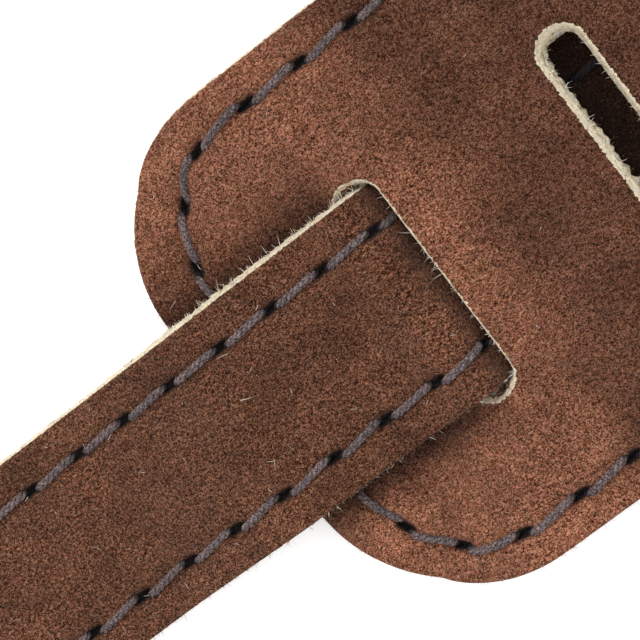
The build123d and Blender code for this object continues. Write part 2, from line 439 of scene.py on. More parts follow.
def where_x(target, side):
    """An anchor: the place along a row where it passes `target` on its +Y (1) or -Y (-1) side."""
    def find(row):
        wanted = np.abs(row.line[:, 0] - target) + 1000 * (row.line[:, 1] * side <= 0)
        near = int(np.argmin(wanted))
        fine = np.linspace(row.travelled[max(near - 1, 0)], row.travelled[near + 1], 400)
        return fine[np.argmin(np.abs(row.points(fine)[:, 0] - target))]
    return find


@dataclass
class Strap:
    name: str
    layer: float
    half: float
    distance: object
    row: Row
    spacing: object

    @property
    def thick(self):
        return 2 * self.layer


def spacing_from(knots):
    """How far apart mesh points are, by x."""
    at, gap = zip(*knots)
    return lambda x: np.interp(x, at, gap)


MAIN = Strap(
    "main",
    MAIN_LAYER,
    MAIN_HALF,
    main_distance,
    Row(main_row(), [lambda row: 17.0, lambda row: row.length - 20.0]),
    spacing_from([(CLOSE_HIGH, 0.62), (CLOSE_HIGH + 40, 1.6), (-60, 3.0), (540, 3.0), (556, 1.2)]),
)
TAIL = Strap(
    "tail",
    TAIL_LAYER,
    TAIL_HALF,
    tail_distance,
    Row(tail_row(), [where_x(-276.4, 1), where_x(-273.7, -1)]),
    spacing_from([(-575, 1.2), (-555, 2.4), (CLOSE_LOW - 30, 2.4), (CLOSE_LOW, 0.6), (CLOSE_HIGH, 0.6)]),
)


@dataclass
class Loop:
    """A closed cut line of a part. Its wall leans out of the leather by `lean` from top to bottom."""

    points: np.ndarray
    outward: np.ndarray
    lean: np.ndarray
    raw: np.ndarray  # how pale its wall is: 1 shows cut leather, 0 stays brown; some walls are kept browner as painted shade


def turned(points, way):
    """The points of a closed line, going anticlockwise for way 1 and clockwise for -1."""
    x, y = points.T
    area = np.sum(x * np.roll(y, -1) - y * np.roll(x, -1))
    return points if area * way > 0 else points[::-1]


def outward_of(points):
    """Directions out of the leather, which is on the left of the line."""
    ahead = np.roll(points, -1, axis=0) - np.roll(points, 1, axis=0)
    return normalised(-left_of(ahead))


def outer_loop(strap, line, seam):
    """A part's outline: the strap's own edge, and the seam where its mesh meets the next part's."""
    edge = respaced(line, lambda x: strap.spacing(x) * 0.62)
    across = respaced(np.array([line[-1], line[0]]), strap.spacing)
    points = turned(np.vstack([edge[:-1], across[:-1]]), 1)
    outward = outward_of(points)
    on_seam = np.abs(points[:, 0] - seam) < 1e-3
    outward[on_seam] = 0
    # Both sides are pale cut leather, but the walls facing -Y are kept browner than those facing +Y, the lamp's
    # side, as painted shade.
    upper = np.clip(outward[:, 1], 0, 1)
    if strap is TAIL:
        frayed = np.exp(-(((points[:, 0] - REAR_X - 8) / 14) ** 2))
        return Loop(points, outward, (0.28 + 0.32 * frayed) * upper, 0.3 + 0.7 * fade(upper, 0.2, 0.7))
    return Loop(points, outward, 0.35 * upper, 0.35 + 0.45 * upper)


def cut_loop(strap, line, lean=0.0, end_lean=0.0):
    """A slot or hole. Its wall leans in by `lean` on its -X side, and by `end_lean` at its ends."""
    closed = np.vstack([line, line[:1]])
    points = turned(respaced(closed, lambda x: np.minimum(strap.spacing(x) * 0.62, 0.8))[:-1], -1)
    outward = outward_of(points)
    leans = lean * (0.2 + 0.8 * np.clip(outward[:, 0], 0, 1)) + end_lean * outward[:, 1] ** 2
    # Where lean is 0, in a slot that the tail fills and in a button hole, the walls facing +Y and -Y are kept
    # browner as painted shade.
    return Loop(points, outward, leans, 1 - 0.75 * outward[:, 1] ** 4 * (lean == 0))


@dataclass
class Part:
    """A stretch of a strap whose meshes are single pieces, from x `low` to x `high`."""

    name: str
    strap: Strap
    low: float
    high: float
    seam: float
    loops: list
    bodies: tuple
    bend: tuple  # where the blend between its two bodies starts and ends
    nodes: tuple  # endings of the CAD nodes that it stands for

    def holds(self, x):
        return (x >= self.low) & (x < self.high)


def slot_leans(number):
    return EMPTY_LEANS if number in EMPTY_SLOTS else CROSSED_LEANS


def main_long():
    corner_x = REAR_X + MAIN_CORNER
    side = side_line(corner_x + 1, MAIN_SEAM_X, taper_half)
    line = np.vstack([flipped(side), end_line(rear_end, MAIN_HALF, MAIN_CORNER), side])
    cuts = [cut_loop(MAIN, slot_loop(n), *slot_leans(n)) for n in SLOT_NUMBERS]
    loops = [outer_loop(MAIN, line, MAIN_SEAM_X), *cuts]
    bodies = ("main_rear", "main_front")
    bend = (FOLD[0], FOLD[0] + FOLD_RUN)
    low, high = REAR_X - SPARE, MAIN_SEAM_X
    return Part("long", MAIN, low, high, MAIN_SEAM_X, loops, bodies, bend, ("rear", "front"))


def main_tongue():
    round_x = FRONT_X - TONGUE_HALF
    side = side_line(MAIN_SEAM_X, round_x, taper_half)
    tip = end_line(lambda y: np.full(len(y), -FRONT_X), TONGUE_HALF, TONGUE_HALF) * (-1, 1)
    line = np.vstack([side[:-1], tip[::-1], flipped(side)[1:]])
    loops = [outer_loop(MAIN, line, MAIN_SEAM_X), cut_loop(MAIN, keyhole_loop(FRONT_HOLE_X, -1))]
    bodies = ("main_front", "main_tab")
    bend = (TAB_BEND[0], TAB_BEND[0] + TAB_BEND_RUN)
    low, high = MAIN_SEAM_X, FRONT_X + SPARE
    return Part("tongue", MAIN, low, high, MAIN_SEAM_X, loops, bodies, bend, ("tab",))


def tail_half(x):
    return np.full(len(x), TAIL_HALF)


def tail_woven():
    corner_x = TAIL_INNER - TAIL_INNER_CORNER
    side = side_line(TAIL_SEAM_X, corner_x - 1, tail_half)
    inner = end_line(lambda y: np.full(len(y), -TAIL_INNER), TAIL_HALF, TAIL_INNER_CORNER) * (-1, 1)
    line = np.vstack([side, inner[::-1], flipped(side)])
    loops = [outer_loop(TAIL, line, TAIL_SEAM_X)]
    bodies = ("main_rear", "tail_run")
    bend = [REAR_X - past for past in STRETCH]
    low, high = TAIL_SEAM_X, TAIL_INNER + SPARE
    return Part("woven", TAIL, low, high, TAIL_SEAM_X, loops, bodies, bend, ("weave", "run"))


def tail_free():
    side = side_line(TAIL_TIP + TAIL_HALF + 0.5, TAIL_SEAM_X, tail_half)
    tip = end_line(lambda y: np.full(len(y), TAIL_TIP), TAIL_HALF, TAIL_HALF)
    line = np.vstack([flipped(side), tip, side])
    loops = [outer_loop(TAIL, line, TAIL_SEAM_X), cut_loop(TAIL, keyhole_loop(TAIL_HOLE, 1))]
    bodies = ("tail_run", "tail_end")
    bend = (TAIL_BEND[0], TAIL_BEND[0] - TAIL_BEND_RUN)
    low, high = TAIL_TIP - SPARE, TAIL_SEAM_X
    return Part("free", TAIL, low, high, TAIL_SEAM_X, loops, bodies, bend, ("end",))


# Meshes


def lumps(points, scale, offset=0.0):
    """Smooth noise between -1 and 1 at strap points."""
    return np.array([noise.noise(Vector((x + offset, y, z))) for x, y, z in points * scale])


def as_heights(plan, height):
    return np.column_stack([plan, np.full(len(plan), height)])


def added(name, data):
    """A new object in the scene."""
    made = bpy.data.objects.new(name, data)
    bpy.context.scene.collection.objects.link(made)
    return made


def joined(meshes):
    """Several (points, faces) pairs as one."""
    faces = []
    total = 0
    for points, own_faces in meshes:
        faces.extend(tuple(total + k for k in face) for face in own_faces)
        total += len(points)
    return np.vstack([points for points, _ in meshes]), faces


def new_piece(kind, points, faces, part, slot, material, attributes, placed=None):
    """Makes a mesh from strap points, which stay with it as the attribute `strap`."""
    name = f"{part.strap.name}_{kind}_{part.name}"
    mesh = bpy.data.meshes.new(name)
    mesh.from_pydata(place(part.strap.name, points) if placed is None else placed, [], faces)
    flat = mesh.attributes.new("strap", "FLOAT_VECTOR", "POINT")
    flat.data.foreach_set("vector", points.astype(np.float32).ravel())
    for key, values in attributes.items():
        mesh.attributes.new(key, "FLOAT", "POINT").data.foreach_set("value", values.astype(np.float32))
    mesh.polygons.foreach_set("use_smooth", [True] * len(mesh.polygons))
    mesh.materials.append(material)
    piece = added(name, mesh)
    return piece


def sharpen_seam(piece, part):
    """Keeps the shading flat where the part's mesh meets the next one."""
    mesh = piece.data
    x = np.zeros(len(mesh.vertices) * 3, np.float32)
    mesh.attributes["strap"].data.foreach_get("vector", x)
    on_seam = np.abs(x[::3] - part.seam) < 1e-3
    ends = np.zeros(len(mesh.edges) * 2, np.int32)
    mesh.edges.foreach_get("vertices", ends)
    sharp = on_seam[ends.reshape(-1, 2)].all(axis=1)
    mesh.attributes.new("sharp_edge", "BOOLEAN", "EDGE").data.foreach_set("value", sharp)


def triangles(loops, free):
    """Triangles over a plan, without its cuts. Points are numbered loop by loop and then free ones."""
    points = np.vstack([*loops, free])
    owner = np.full(len(points), -1)
    edges = []
    start = 0
    for number, loop in enumerate(loops):
        count = len(loop)
        edges.extend((start + k, start + (k + 1) % count) for k in range(count))
        owner[start : start + count] = number
        start += count
    made = delaunay_2d_cdt([Vector(p) for p in points], edges, [], 2, 1e-7)
    origin = [ids[0] if ids else -1 for ids in made[3]]
    faces = [[origin[k] for k in face] for face in made[2]]
    return [anticlockwise(face, points) for face in faces if min(face) >= 0 and not in_cut(owner[face])]


def in_cut(owners):
    """Whether a face lies across a slot or hole: all its points are then on that one cut line."""
    return owners[0] > 0 and (owners == owners[0]).all()


def anticlockwise(face, points):
    a, b, c = (points[k] for k in face[:3])
    turn = (b[0] - a[0]) * (c[1] - a[1]) - (b[1] - a[1]) * (c[0] - a[0])
    return face if turn > 0 else face[::-1]


def fill_points(part, spacing):
    """Staggered points over a part's plan, away from its edges."""
    rows = []
    x = part.low
    odd = False
    while x < part.high:
        step = float(spacing(x))
        y = np.arange(-part.strap.half, part.strap.half, step) + (step / 2 if odd else 0)
        row = np.column_stack([np.full(len(y), x), y])
        rows.append(row + rng.uniform(-0.13, 0.13, row.shape) * step)
        x += step * math.sqrt(3) / 2
        odd = not odd
    points = np.vstack(rows)
    clear = part.strap.distance(*points.T) > np.maximum(0.45, 0.45 * spacing(points[:, 0]))
    inside = np.abs(points[:, 0] - part.seam) > 0.5 * spacing(points[:, 0])
    return points[clear & inside & part.holds(points[:, 0])]


def ring_points(part):
    """Points just inside each cut line, where the edge is rounded."""
    rings = [loop.points - loop.outward * reach for loop in part.loops for reach in RINGS]
    points = np.vstack(rings)
    clear = part.strap.distance(*points.T) > RINGS[0] * 0.6
    inside = np.abs(points[:, 0] - part.seam) > 0.2
    return points[clear & inside & part.holds(points[:, 0])]


def hole_points(part):
    """Points round each needle hole, where the leather is pulled down."""
    middles, ahead = part.strap.row.at(part.strap.row.holes)
    across = left_of(ahead)
    points = []
    for reach in (0.0, 0.35, 0.7, 1.05):
        for turn in np.linspace(0, 2 * math.pi, 8 if reach else 1, endpoint=False) + reach:
            spot = middles + 1.5 * reach * math.cos(turn) * ahead
            points.append(spot + 0.75 * reach * math.sin(turn) * across)
    points = np.vstack(points)
    clear = (part.strap.distance(*points.T) > 0.5) & (np.abs(points[:, 0] - part.seam) > 0.3)
    return points[clear & part.holds(points[:, 0])]


def sewn_depth(strap, plan):
    """How far the stitches pull the leather down at each point, and how far into a needle hole it is, which also
    sets the painted shade there.
    """
    middles, ahead = strap.row.at(strap.row.holes)
    tree = kdtree.KDTree(len(middles))
    for index, middle in enumerate(middles):
        tree.insert((*middle, 0), index)
    tree.balance()
    nearest = np.array([tree.find((x, y, 0))[1] for x, y in plan])
    away = plan - middles[nearest]
    along = np.abs(np.sum(away * ahead[nearest], axis=1))
    across = np.abs(away[:, 1] * ahead[nearest, 0] - away[:, 0] * ahead[nearest, 1])
    groove = 0.24 * np.exp(-((across / 0.75) ** 2)) * (along < STITCH_PITCH)
    pit = np.exp(-((along / 1.25) ** 4) - (across / 0.58) ** 2)
    pull = 0.3 * np.exp(-((along / 1.5) ** 2) - (across / 1.1) ** 2)
    return groove + pull + 0.85 * pit, pit


def edge_drop(distance):
    inside = np.clip(distance / EDGE_ROUND, 0, 1)
    return EDGE_ROUND * (1 - np.sqrt(np.maximum(1 - (1 - inside) ** 2, 0)))


def surface(strap, plan):
    """Distance below the full thickness of a visible surface, and the painted shade of its needle holes."""
    depth, pit = sewn_depth(strap, plan)
    spots = as_heights(plan, 0.0)
    rough = 0.05 * lumps(spots, 1.3) + 0.07 * lumps(spots, 0.31, 40) + 0.12 * lumps(spots, 0.07, 80)
    return edge_drop(strap.distance(*plan.T)) + depth - rough, pit


def wall_points(part, height, share, wild):
    """One level of every wall: height above the underside, share of the way down from the face."""
    levels = []
    for loop in part.loops:
        spots = as_heights(loop.points, height)
        ragged = wild * (0.10 * lumps(spots, 2.1, 7) + 0.06 * lumps(spots, 6.0, 3))
        torn = loop.lean * share**0.7 * (1 + 0.5 * lumps(spots, 1.1, 21) + 0.4 * lumps(spots, 3.3, 5))
        reach = (ragged + torn)[:, None]
        levels.append(as_heights(loop.points + loop.outward * reach, height))
    return np.vstack(levels)


def wall_faces(loops, upper, lower):
    """Quads down every wall between the level that starts at point `upper` and the one at `lower`."""
    first = 0
    for loop in loops:
        for k in range(len(loop)):
            a, b = first + k, first + (k + 1) % len(loop)
            yield (upper + a, lower + a, lower + b, upper + b)
        first += len(loop)


def rim_paleness(part, plan):
    """The grain ends a hair short of a slot's edge, and shows a pale line there."""
    if part.strap is TAIL:
        return np.zeros(len(plan))
    return 1.3 * (1 - np.clip(slots_distance(*plan.T) / RIM_WIDTH, 0, 1))


def tail_painted_shade(x):
    """Painted shade on the tail: it is dark under slot 2 and where it goes into slot 1."""
    under = np.exp(-(((x - slot_x(2)) / 7) ** 4))
    entering = 0.3 * np.exp(-(((x - SLOT_1_X - 2.5) / 2.2) ** 2))
    return np.maximum(under, entering)


def main_painted_shade(x, y):
    """Painted shadow and shade on the main: it is dark along the tail's edges, more widely on the +Y side, and
    past slot 1.
    """
    beside = np.maximum(np.abs(y) - TAIL_HALF, 0)
    strength = np.where(y > 0, 0.84, 0.86)
    reach = np.where(y > 0, 5.2, 3.0)
    before_slot = 1 - fade(x, SLOT_1_X - 3, SLOT_1_X + 1)
    by_tail = strength * np.exp(-((beside / reach) ** 2)) * before_slot
    past_slot = 0.64 * fade(x, SLOT_1_X + 2, SLOT_1_X + 14) * (1 - fade(x, SLOT_1_X + 45, SLOT_1_X + 75))
    return np.maximum(by_tail, past_slot)


def painted_shade_at(strap, points):
    """How much painted shade darkens the leather, from 0 to 1."""
    x, y = points[:, 0], points[:, 1]
    return tail_painted_shade(x) if strap is TAIL else main_painted_shade(x, y)


def wall_heights(strap, is_face):
    """The levels of a layer's walls, from its rounded edge to its hidden side."""
    steps = (strap.layer - EDGE_ROUND) * WALL_LEVELS
    return strap.thick - EDGE_ROUND - steps if is_face else EDGE_ROUND + steps


def layer_faces(loops, fine, coarse, levels):
    """Faces of a layer: its visible surface, its walls from level to level, and its hidden side."""
    count = sum(len(loop) for loop in loops)
    starts = [0] + [count + len(fine) + k * count for k in range(levels)]
    faces = triangles(loops, fine)
    for upper, lower in zip(starts, starts[1:]):
        faces.extend(wall_faces(loops, upper, lower))
    faces.extend([starts[-1] + k for k in reversed(face)] for face in triangles(loops, coarse))
    return faces


def layer_paleness(part, shown_plan, levels, hidden):
    """How much cut leather shows at a layer's points: at its rims and on its walls."""
    cut = np.concatenate([loop.raw for loop in part.loops])
    shown = rim_paleness(part, shown_plan)
    shown[: len(cut)] = np.maximum(shown[: len(cut)], 0.55 * cut)
    return np.concatenate([shown, *[cut] * levels, np.zeros(hidden)])


def leather(part, layer_name, slot, material):
    """One layer of a part as a closed mesh: its visible surface, its cut walls and its hidden side."""
    strap = part.strap
    is_face = layer_name == "face"
    loops = [loop.points for loop in part.loops]
    fine = np.vstack([ring_points(part), fill_points(part, strap.spacing), hole_points(part)])
    widest = 3.5 if strap is MAIN else 1.4
    coarse = fill_points(part, lambda x: np.minimum(2.2 * strap.spacing(x), widest))
    shown_plan = np.vstack([*loops, fine])
    drop, pit = surface(strap, shown_plan)
    shown = np.column_stack([shown_plan, strap.thick - drop if is_face else drop])
    if not is_face:
        lowest = wall_points(part, 0.0, 1.0, 0.3)
        shown[: len(lowest), :2] = lowest[:, :2]
    walls = [wall_points(part, h, 1 - h / strap.thick, 1.0) for h in wall_heights(strap, is_face)]
    points = np.vstack([shown, *walls, as_heights(coarse, strap.layer)])
    faces = layer_faces(loops, fine, coarse, len(walls))
    if not is_face:
        faces = [list(reversed(face)) for face in faces]
    attributes = {
        "raw": layer_paleness(part, shown_plan, len(walls), len(coarse)),
        # Painted shade in the needle holes.
        "pit": np.concatenate([pit, np.zeros(len(points) - len(pit))]),
        # Painted shadow and shade beside and under the tail, and past slot 1.
        "worn": painted_shade_at(strap, points),
    }
    piece = new_piece(layer_name, points, faces, part, slot, material, attributes)
    sharpen_seam(piece, part)
    return piece


def sideways(path):
    """Level and upward directions, square to a path of strap points."""
    ahead = normalised(np.gradient(path, axis=0))
    across = normalised(np.cross(ahead, (0, 0, 1)))
    return across, np.cross(across, ahead)


def circles(across, up, turn):
    """Unit vectors at the angles `turn` round each pair of directions."""
    return np.cos(turn)[None, :, None] * across[:, None] + np.sin(turn)[None, :, None] * up[:, None]


def tube(path, radius, sides):
    """Rings round a path of strap points, as vertices and faces, closed at both ends."""
    turn = np.linspace(0, 2 * math.pi, sides, endpoint=False)
    points = (path[:, None] + radius * circles(*sideways(path), turn)).reshape(-1, 3)
    faces = []
    for k in range(len(path) - 1):
        for j in range(sides):
            a, b = k * sides + j, k * sides + (j + 1) % sides
            faces.append((a, a + sides, b + sides, b))
    faces.append(tuple(range(sides)))
    faces.append(tuple(range(len(points) - 1, len(points) - 1 - sides, -1)))
    return points, faces


def stitch_line(strap, start, stop, slant, steps, level, sink):
    """The middle of a stitch, from one needle hole to the next: out of the hole, along, and back in."""
    _, ahead = strap.row.at([(start + stop) / 2])
    along = np.linspace(-0.5, 0.5, steps) * (stop - start - 1.3)
    spine, _ = strap.row.at((start + stop) / 2 + along)
    across = np.array([-ahead[0, 1], ahead[0, 0]])
    plan = spine + np.outer(along * math.tan(slant), across)
    flat = STITCH_RUN / 2 - 0.75
    into = np.clip((np.abs(along) - flat) / (along[-1] - flat), 0, 1)
    swell = 0.1 * np.cos(along / flat * math.pi / 2).clip(0, 1)
    return np.column_stack([plan, level + sink * (swell - 1.15 * into**1.8)])


def ply_paths(line, phase):
    """Three plies twisted round a stitch's middle line."""
    across, up = sideways(line)
    travelled = np.concatenate([[0], np.cumsum(np.linalg.norm(np.diff(line, axis=0), axis=1))])
    for ply in range(3):
        turn = travelled / PLY_TWIST * 2 * math.pi + phase + ply * 2 * math.pi / 3
        yield line + PLY_OFFSET * (np.cos(turn)[:, None] * across + np.sin(turn)[:, None] * up)


def slant_of(strap, y):
    """How far a run turns from its row, in radians."""
    return math.radians(5.0 if strap is TAIL and y > 0 else 9.0)


def sewing(part, thread_name, material):
    """A part's stitches on its face (needle thread) or in its underside (bobbin thread)."""
    strap = part.strap
    needle = thread_name == "needle_thread"
    level, sink = (strap.thick - 0.08, 1.0) if needle else (0.42, -0.9)
    plies, depths = [], []
    holes = strap.row.holes
    for start, stop in zip(holes, [*holes[1:], holes[0] + strap.row.length]):
        x, y = strap.row.points((start + stop) / 2)
        if not part.holds(x):
            continue
        steps, sides = (44, 7) if needle and CLOSE_LOW < x < CLOSE_HIGH else (16, 4)
        lean = slant_of(strap, y) + rng.normal(0, 0.02)
        line = stitch_line(strap, start, stop, lean, steps, level, sink)
        for path in ply_paths(line, rng.uniform(0, 6)):
            plies.append(tube(path, PLY_RADIUS, sides))
            # Painted shade: the thread darkens as it goes down into a hole, and on the tail also where the tail's
            # leather has painted shade.
            below = np.clip((level - sink * 0.15 - path[:, 2]) * np.sign(sink) / 0.55, 0, 1)
            below = np.maximum(below, painted_shade_at(strap, path) * (strap is TAIL))
            depths.append(np.repeat(below, sides))
    attributes = {"pit": np.concatenate(depths)}
    return new_piece(thread_name, *joined(plies), part, "thread", material, attributes)


# Loose fibres


def tapered(paths, radius):
    """Closed three-sided fibres along paths, an array of (fibre, point, coordinate)."""
    count, steps = paths.shape[:2]
    ahead = normalised(paths[:, -1] - paths[:, 0])
    helper = np.where(np.abs(ahead[:, 2:]) < 0.9, (0, 0, 1), (1, 0, 0))
    across = normalised(np.cross(helper, ahead))
    ring = circles(across, np.cross(ahead, across), np.array([0, 2, 4]) * math.pi / 3)
    size = radius * np.linspace(1, 0.55, steps - 1)
    rings = paths[:, :-1, None] + size[None, :, None, None] * ring[:, None]
    per_fibre = 3 * (steps - 1) + 1
    points = np.concatenate([rings.reshape(count, -1, 3), paths[:, -1:]], axis=1).reshape(-1, 3)
    pattern = [(2, 1, 0)]
    for k in range(steps - 2):
        for j in range(3):
            a, b = 3 * k + j, 3 * k + (j + 1) % 3
            pattern.append((a, b, b + 3, a + 3))
    base = 3 * (steps - 2)
    pattern.extend((base + j, base + (j + 1) % 3, per_fibre - 1) for j in range(3))
    starts = range(0, count * per_fibre, per_fibre)
    faces = [tuple(start + k for k in face) for start in starts for face in pattern]
    return points, faces, per_fibre


@dataclass
class Fibres:
    """Fibres to be made into one piece: their paths, thickness, shade and paleness."""

    paths: np.ndarray
    radius: float
    shade: np.ndarray
    raw: np.ndarray


def curled(roots, directions, length, bend, steps):
    """Fibre paths from roots, which turn sideways by `bend` on their way."""
    share = np.linspace(0, 1, steps)[None, :, None]
    side = rng.normal(0, 1, roots.shape)
    side -= np.sum(side * directions, axis=1, keepdims=True) * directions
    reach = length[:, None, None]
    return roots[:, None] + reach * (share * directions[:, None] + bend * share**2 * side[:, None])


def laid(part, points, roots):
    """Puts fibre points where they lie, each kept in the frame of its own root, so none is stretched."""
    x, z, heading = lie_of(part.strap.name, roots[:, 0], roots[:, 1])
    along = points[:, 0] - roots[:, 0]
    sine, cosine = np.sin(heading), np.cos(heading)
    return np.column_stack([
        x + cosine * along - sine * points[:, 2],
        points[:, 1],
        z + sine * along + cosine * points[:, 2],
    ]) * MM


def nap(part, low, high, per_area, length):
    """Short fibres that lie over a part's face between two places."""
    strap = part.strap
    count = int(per_area * (high - low) * 2 * strap.half)
    plan = np.column_stack([rng.uniform(low, high, count), rng.uniform(-strap.half, strap.half, count)])
    plan = plan[strap.distance(*plan.T) > 0.1]
    depth, pit = sewn_depth(strap, plan)
    kept = pit < 0.15
    plan, depth = plan[kept], depth[kept]
    height = strap.thick - edge_drop(strap.distance(*plan.T)) - depth - 0.04
    roots = np.column_stack([plan, height])
    flat = rng.normal(0, 1, (len(plan), 2))
    rise = np.abs(rng.normal(0, 0.42, len(plan)))
    directions = normalised(np.column_stack([flat, rise]))
    lengths = length * rng.uniform(0.5, 1.5, len(plan))
    paths = curled(roots, directions, lengths, 0.22, 3)
    paths[:, 1:, 2] = np.maximum(paths[:, 1:, 2], height[:, None] + 0.03)
    return Fibres(paths, 0.028, rng.beta(1.6, 1.6, len(plan)), np.zeros(len(plan)))


def edge_fibres(part, per_length, length, raw_share):
    """Fibres that stand out of a part's cut edges."""
    found = []
    strap = part.strap
    for loop in part.loops:
        steps = np.linalg.norm(np.roll(loop.points, -1, axis=0) - loop.points, axis=1)
        is_cut = np.abs(loop.outward).sum(axis=1) > 0.5
        weight = steps * is_cut * (0.35 + loop.raw * raw_share)
        count = int(weight.sum() * per_length)
        picked = rng.choice(len(loop.points), count, p=weight / weight.sum())
        share = rng.uniform(0.06, 0.85, count)
        height = strap.thick * (1 - share)
        ahead = left_of(loop.outward[picked])
        slide = rng.uniform(-0.5, 0.5, count) * steps[picked]
        leaning = (loop.lean[picked] * share - 0.05)[:, None]
        plan = loop.points[picked] + ahead * slide[:, None] + loop.outward[picked] * leaning
        roots = np.column_stack([plan, height])
        spread = rng.normal(0, 0.75, count)[:, None] * ahead
        rise = rng.normal(0.1, 0.45, count)
        directions = normalised(np.column_stack([loop.outward[picked] + spread, rise]))
        lengths = length * rng.gamma(2.2, 0.45, count)
        paths = curled(roots, directions, lengths, 0.3, 4)
        paths[:, :, 2] = np.maximum(paths[:, :, 2], FIBRE_FLOOR)
        # Fibres are pale as often as their wall is, so those on walls kept browner as painted shade are browner
        # too.
        found.append(Fibres(
            paths,
            0.03,
            rng.uniform(0.3, 1, count),
            np.where(rng.uniform(0, 1, count) < loop.raw[picked] * 0.9, 1.0, 0.0),
        ))
    return found


def stray_hairs(part, low, high, count):
    """A few pale hairs that lie on the face."""
    strap = part.strap
    along = rng.uniform(low, high, count)
    across = rng.uniform(-strap.half, strap.half, count) * 0.97
    plan = np.column_stack([along, across])
    plan = plan[strap.distance(*plan.T) > 1.0]
    roots = as_heights(plan, strap.thick + 0.02)
    flat = rng.normal(0, 1, (len(plan), 2))
    rise = rng.uniform(0.02, 0.25, len(plan))
    directions = normalised(np.column_stack([flat, rise]))
    paths = curled(roots, directions, rng.gamma(2.0, 0.2, len(plan)) + 0.2, 0.28, 6)
    paths[:, :, 2] = np.maximum(paths[:, :, 2], strap.thick + 0.02)
    return Fibres(paths, 0.035, rng.uniform(0.5, 1, len(plan)), rng.uniform(0.2, 1, len(plan)))


def fibre_piece(part, kind, groups, materials):
    """Groups of fibres as one piece."""
    meshes, placed, shades, raws = [], [], [], []
    for group in groups:
        made, faces, per_fibre = tapered(group.paths, group.radius)
        meshes.append((made, faces))
        placed.append(laid(part, made, np.repeat(group.paths[:, 0], per_fibre, axis=0)))
        shades.append(np.repeat(group.shade, per_fibre))
        raws.append(np.repeat(group.raw, per_fibre))
    attributes = {"shade": np.concatenate(shades), "raw": np.concatenate(raws)}
    name = part.strap.name
    material = materials[f"{name}_fibres"]
    return new_piece(kind, *joined(meshes), part, f"{name}_suede", material, attributes, np.vstack(placed))


# Materials


class Graph:
    """A material's nodes, with one short call for each kind that is used."""

    def __init__(self, name, roughness, sheen, sheen_roughness=0.5, sheen_tint=(1, 1, 1)):
        self.material = bpy.data.materials.new(name)
        self.material.use_nodes = True
        self.tree = self.material.node_tree
        self.shader = self.tree.nodes["Principled BSDF"]
        self.shader.inputs["Roughness"].default_value = roughness
        self.shader.inputs["Sheen Weight"].default_value = sheen
        self.shader.inputs["Sheen Roughness"].default_value = sheen_roughness
        self.shader.inputs["Sheen Tint"].default_value = (*sheen_tint, 1)
        self.shader.inputs["Specular IOR Level"].default_value = 0.05
        self.strap = self.attribute("strap", "Vector")

    def node(self, kind, **inputs):
        made = self.tree.nodes.new(kind)
        for key, value in inputs.items():
            self.feed(made.inputs[key.replace("_", " ")], value)
        return made

    def feed(self, socket, value):
        if isinstance(value, bpy.types.NodeSocket):
            self.tree.links.new(value, socket)
        else:
            socket.default_value = value

    def attribute(self, name, output="Fac"):
        made = self.node("ShaderNodeAttribute")
        made.attribute_name = name
        return made.outputs[output]

    def noise(self, scale, detail=2.0, roughness=0.5, distortion=0.0, stretch=(1, 1, 1)):
        made = self.node("ShaderNodeMapping", Vector=self.strap, Scale=stretch)
        return self.node(
            "ShaderNodeTexNoise",
            Vector=made.outputs[0],
            Scale=scale,
            Detail=detail,
            Roughness=roughness,
            Distortion=distortion,
        ).outputs[0]

    def ramp(self, factor, stops):
        made = self.node("ShaderNodeValToRGB", Fac=factor)
        elements = made.color_ramp.elements
        while len(elements) < len(stops):
            elements.new(0.5)
        for element, (place_at, colour) in zip(elements, stops):
            element.position = place_at
            element.color = (*colour, 1)
        return made.outputs[0]

    def grey(self, factor, low, high, start=0.0, stop=1.0):
        made = self.node("ShaderNodeMapRange", Value=factor)
        for socket, value in zip(made.inputs[1:5], (start, stop, low, high)):
            socket.default_value = value
        return made.outputs[0]

    def mix(self, factor, first, second, blend="MIX"):
        made = self.tree.nodes.new("ShaderNodeMix")
        made.data_type = "RGBA"
        made.blend_type = blend
        self.feed(made.inputs[0], factor)
        self.feed(made.inputs[6], first if isinstance(first, bpy.types.NodeSocket) else (*first, 1))
        self.feed(made.inputs[7], second if isinstance(second, bpy.types.NodeSocket) else (*second, 1))
        return made.outputs[2]

    def math(self, operation, first, second):
        made = self.tree.nodes.new("ShaderNodeMath")
        made.operation = operation
        self.feed(made.inputs[0], first)
        self.feed(made.inputs[1], second)
        return made.outputs[0]

    def scaled(self, colour, factor):
        """A colour times a grey value."""
        grey = self.node("ShaderNodeCombineColor", Red=factor, Green=factor, Blue=factor).outputs[0]
        return self.mix(1.0, colour, grey, "MULTIPLY")

    def finish(self, colour, height, strength, distance, roughness=None):
        bump = self.node("ShaderNodeBump", Strength=strength, Distance=distance * MM, Height=height)
        self.feed(self.shader.inputs["Base Color"], colour)
        self.feed(self.shader.inputs["Normal"], bump.outputs[0])
        if roughness is not None:
            self.feed(self.shader.inputs["Roughness"], roughness)
        return self.material


CREAM = ((0.72, 0.54, 0.32), (1.0, 0.88, 0.64), (1.0, 0.97, 0.88))
# Painted shade: near black, for the needle holes.
HOLE_SHADE_BLACK = (0.004, 0.003, 0.004)


